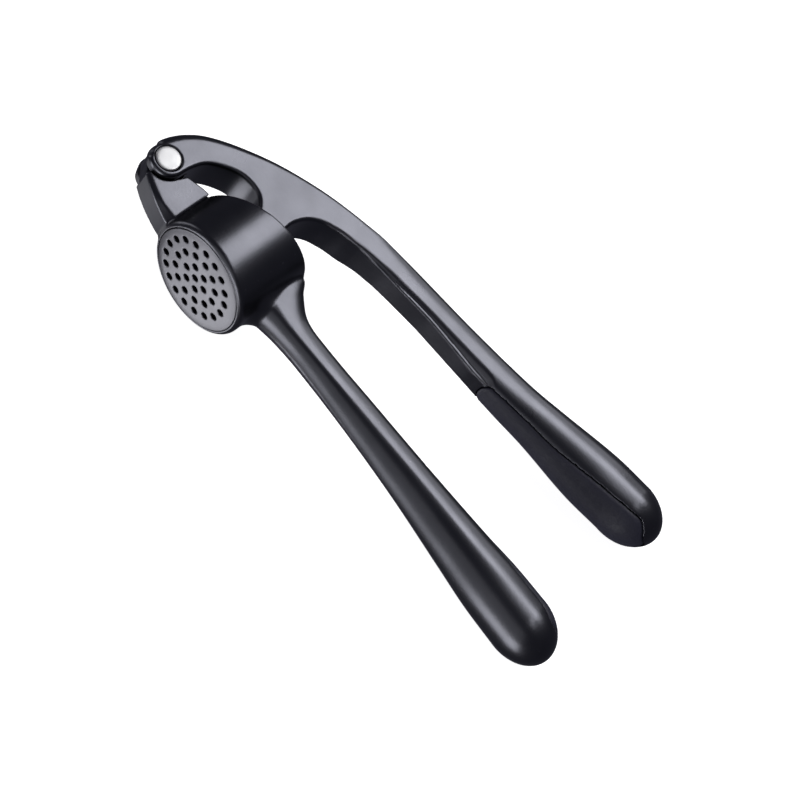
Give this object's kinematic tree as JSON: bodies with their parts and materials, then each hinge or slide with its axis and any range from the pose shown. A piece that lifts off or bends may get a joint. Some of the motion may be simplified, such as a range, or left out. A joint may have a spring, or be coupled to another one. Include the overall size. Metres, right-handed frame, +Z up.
{
  "type": "garlic press",
  "caption": "Hand-held garlic press: a lever with a hinged plunger squeezes cloves through a perforated plate in a round cup.",
  "frame": {"origin": "middle of the bounding box's bottom face, on the table that the press lies on", "axes": "+X from the hinge towards the handle ends, +Y from the sieve up the cup towards the upper handle, +Z up from the table, along the hinge pin"},
  "size_m": [0.1798, 0.0822, 0.0348],
  "materials": {
    "gunmetal": "satin dark grey coated casting",
    "sieve_metal": "satin dark grey",
    "polished_steel": "polished",
    "soft_black_grip": "matte, fine grain"
  },
  "bodies": {
    "lower_lever": {"lower_handle": "gunmetal", "sieve_plate": "sieve_metal", "lower_grip": "soft_black_grip"},
    "upper_lever": {"upper_handle": "gunmetal", "upper_grip": "soft_black_grip", "pivot_pin": "polished_steel", "pivot_cap": "polished_steel"},
    "plunger_group": {"plunger": "gunmetal", "plunger_pin": "polished_steel"}
  },
  "joints": [
    {"name": "lever_hinge", "type": "hinge", "parent": "lower_lever", "child": "upper_lever", "pos_m": [-0.08399, -0.029, 0.01938], "axis": [0.0624, 0, 0.998], "range_deg": [0, 100]},
    {"name": "plunger_hinge", "type": "hinge", "parent": "upper_lever", "child": "plunger_group", "pos_m": [-0.05185, -0.0337, 0.01737], "axis": [0.0624, 0, 0.998], "range_deg": [-80, 0]}
  ],
  "couplings": [
    {"joint": "plunger_hinge", "follows": "lever_hinge", "ratio": -0.8}
  ]
}
